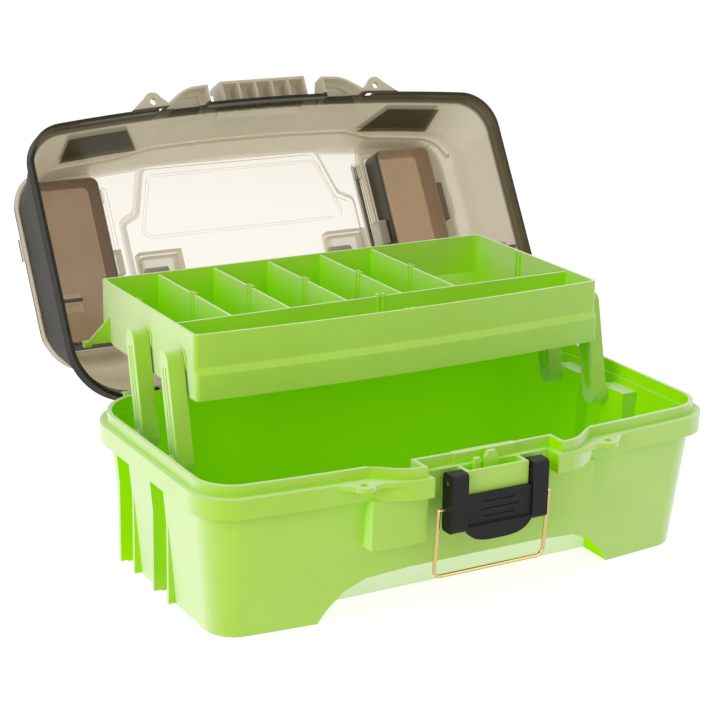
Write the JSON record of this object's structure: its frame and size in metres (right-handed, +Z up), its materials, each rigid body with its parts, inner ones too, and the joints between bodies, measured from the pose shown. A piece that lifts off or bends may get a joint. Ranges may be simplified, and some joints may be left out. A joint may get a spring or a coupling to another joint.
{
  "type": "fishing tackle box",
  "caption": "Moulded tackle box with a hinged smoke lid, two top-access doors, a lifting compartment tray on swing arms, a bail-wire draw latch and a fold-down handle.",
  "frame": {"origin": "on the ground at the middle of the tub footprint, lid open and tray raised", "axes": "+X along the box to the right seen from the latch side, +Y to the hinge side, +Z up"},
  "size_m": [0.372, 0.3858, 0.2833],
  "materials": {
    "green_plastic": "satin moulded",
    "smoke_plastic": "translucent smoke",
    "brown_smoke_plastic": "translucent brown smoke",
    "black_plastic": "fine texture",
    "brass_wire": "plated wire",
    "steel_pin": "plain"
  },
  "bodies": {
    "base": {"base_tub": "green_plastic", "lid_hinge_pins": "steel_pin", "latch_pin": "steel_pin", "arm_lower_pins": "green_plastic"},
    "lid": {"lid_shell": "smoke_plastic", "bin_left": "brown_smoke_plastic", "bin_right": "brown_smoke_plastic", "door_hinge_pins": "steel_pin", "handle_pins": "steel_pin"},
    "door_left": {"door_left": "smoke_plastic"},
    "door_right": {"door_right": "smoke_plastic"},
    "handle": {"handle": "black_plastic"},
    "latch": {"latch_lever": "black_plastic"},
    "bail": {"bail_wire": "brass_wire"},
    "tray": {"tray": "green_plastic", "arm_upper_pins": "green_plastic"},
    "arm_left_front": {"arm_left_front": "green_plastic"},
    "arm_left_rear": {"arm_left_rear": "green_plastic"},
    "arm_right_front": {"arm_right_front": "green_plastic"},
    "arm_right_rear": {"arm_right_rear": "green_plastic"}
  },
  "joints": [
    {"name": "lid_hinge", "type": "hinge", "parent": "base", "child": "lid", "pos_m": [0, 0.09435, 0.097], "axis": [-1, 0, 0], "range_deg": [-120, 0]},
    {"name": "door_left_hinge", "type": "hinge", "parent": "lid", "child": "door_left", "pos_m": [-0.1075, 0.22812, 0.1495], "axis": [0, -0.5, -0.866], "range_deg": [0, 100]},
    {"name": "door_right_hinge", "type": "hinge", "parent": "lid", "child": "door_right", "pos_m": [0.1075, 0.22812, 0.1495], "axis": [0, 0.5, 0.866], "range_deg": [0, 100]},
    {"name": "handle_pivot", "type": "hinge", "parent": "lid", "child": "handle", "pos_m": [0, 0.22044, 0.14239], "axis": [-1, 0, 0], "range_deg": [-150, 0]},
    {"name": "latch_pivot", "type": "hinge", "parent": "base", "child": "latch", "pos_m": [0, -0.115, 0.0875], "axis": [-1, 0, 0], "range_deg": [0, 90]},
    {"name": "bail_pivot", "type": "hinge", "parent": "latch", "child": "bail", "pos_m": [0, -0.115, 0.071], "axis": [1, 0, 0], "range_deg": [-184.7, 0]},
    {"name": "arm_left_rear_pivot", "type": "hinge", "parent": "base", "child": "arm_left_rear", "pos_m": [-0.158, 0.052, 0.0835], "axis": [-1, 0, 0], "range_deg": [-75, 0]},
    {"name": "arm_left_front_pivot", "type": "hinge", "parent": "base", "child": "arm_left_front", "pos_m": [-0.158, -0.001, 0.0835], "axis": [-1, 0, 0], "range_deg": [-75, 0]},
    {"name": "arm_right_rear_pivot", "type": "hinge", "parent": "base", "child": "arm_right_rear", "pos_m": [0.158, 0.052, 0.0835], "axis": [-1, 0, 0], "range_deg": [-75, 0]},
    {"name": "arm_right_front_pivot", "type": "hinge", "parent": "base", "child": "arm_right_front", "pos_m": [0.158, -0.001, 0.0835], "axis": [-1, 0, 0], "range_deg": [-75, 0]},
    {"name": "tray_pivot", "type": "hinge", "parent": "arm_left_rear", "child": "tray", "pos_m": [-0.156, 0.0665, 0.1464], "axis": [-1, 0, 0], "range_deg": [0, 75]}
  ],
  "couplings": [
    {"joint": "arm_left_rear_pivot", "follows": "lid_hinge", "ratio": 0.625},
    {"joint": "arm_left_front_pivot", "follows": "lid_hinge", "ratio": 0.625},
    {"joint": "arm_right_rear_pivot", "follows": "lid_hinge", "ratio": 0.625},
    {"joint": "arm_right_front_pivot", "follows": "lid_hinge", "ratio": 0.625},
    {"joint": "tray_pivot", "follows": "lid_hinge", "ratio": -0.625}
  ]
}
